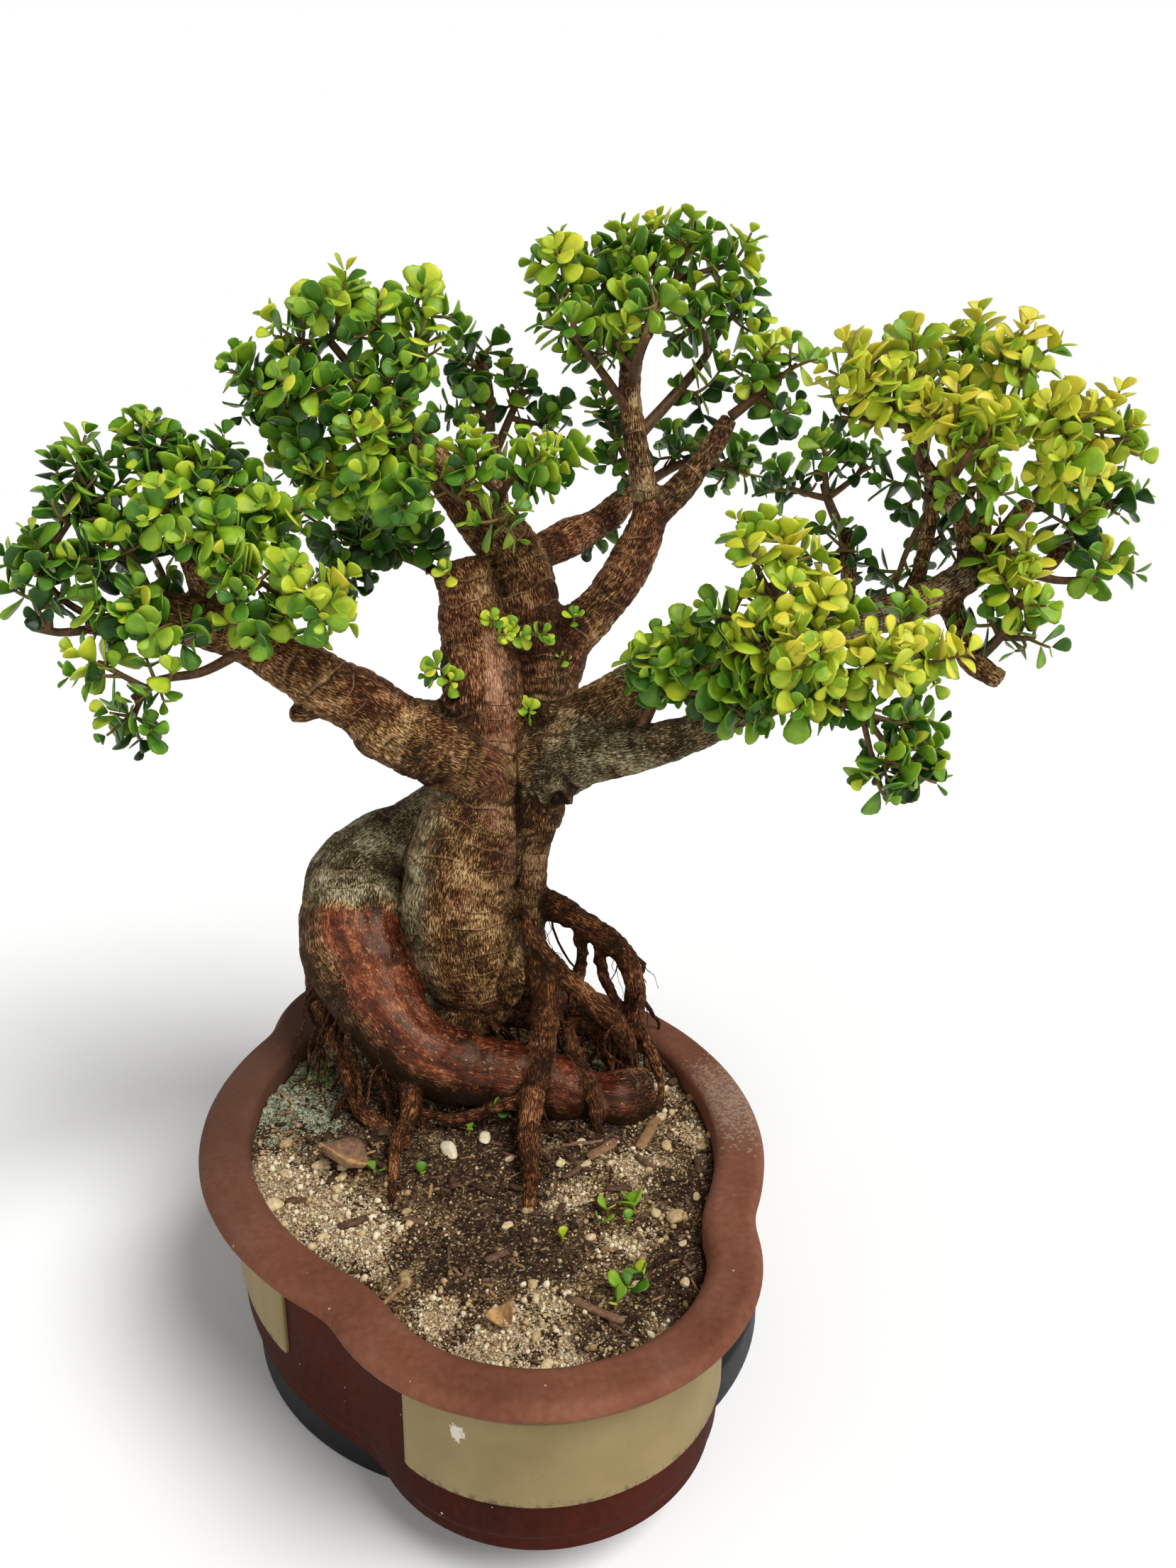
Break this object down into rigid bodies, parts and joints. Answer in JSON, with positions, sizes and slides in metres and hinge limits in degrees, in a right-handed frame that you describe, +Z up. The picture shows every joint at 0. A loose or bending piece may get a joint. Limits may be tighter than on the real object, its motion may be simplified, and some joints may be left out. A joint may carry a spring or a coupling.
{
  "type": "dwarf jade bonsai",
  "caption": "Dwarf jade bonsai tree with a looping trunk and aerial roots, in an oval four-lobed clay pot on a low round stand.",
  "frame": {"origin": "on the stand's flat underside, straight below the middle of the pot", "axes": "+Z up, +Y along the pot's long axis, away from its front lobe, +X to the right as seen from the front lobe"},
  "size_m": [0.6882, 0.49, 0.68],
  "materials": {
    "stand": "satin",
    "clay": "matte",
    "soil": "matte",
    "bark": "matte",
    "leaf": "satin"
  },
  "bodies": {
    "root": {"pot": "clay", "soil": "soil", "spray_behind_top": "leaf", "spray_crest_front": "leaf", "spray_crest_left": "leaf", "spray_crest_low": "leaf", "spray_crest_rise": "leaf", "spray_crest_tip": "leaf", "spray_far_back": "leaf", "spray_hind_left": "leaf", "spray_hind_rise": "leaf", "spray_hind_side": "leaf", "spray_left_behind": "leaf", "spray_left_corner": "leaf", "spray_left_front": "leaf", "spray_left_hanging": "leaf", "spray_left_rise_inner": "leaf", "spray_left_rise_mid": "leaf", "spray_left_rise_outer": "leaf", "spray_left_tip": "leaf", "spray_low_hanging": "leaf", "spray_low_left": "leaf", "spray_low_rise": "leaf", "spray_low_tip": "leaf", "spray_right_behind": "leaf", "spray_right_drop": "leaf", "spray_right_far": "leaf", "spray_right_front": "leaf", "spray_right_low_side": "leaf", "spray_right_rise_left": "leaf", "spray_right_rise_mid": "leaf", "spray_right_rise_right": "leaf", "spray_top_front": "leaf", "spray_top_left": "leaf", "spray_top_left_low": "leaf", "spray_top_mid": "leaf", "spray_top_right": "leaf", "spray_top_tip": "leaf", "stand": "stand", "wood": "bark"}
  },
  "joints": []
}
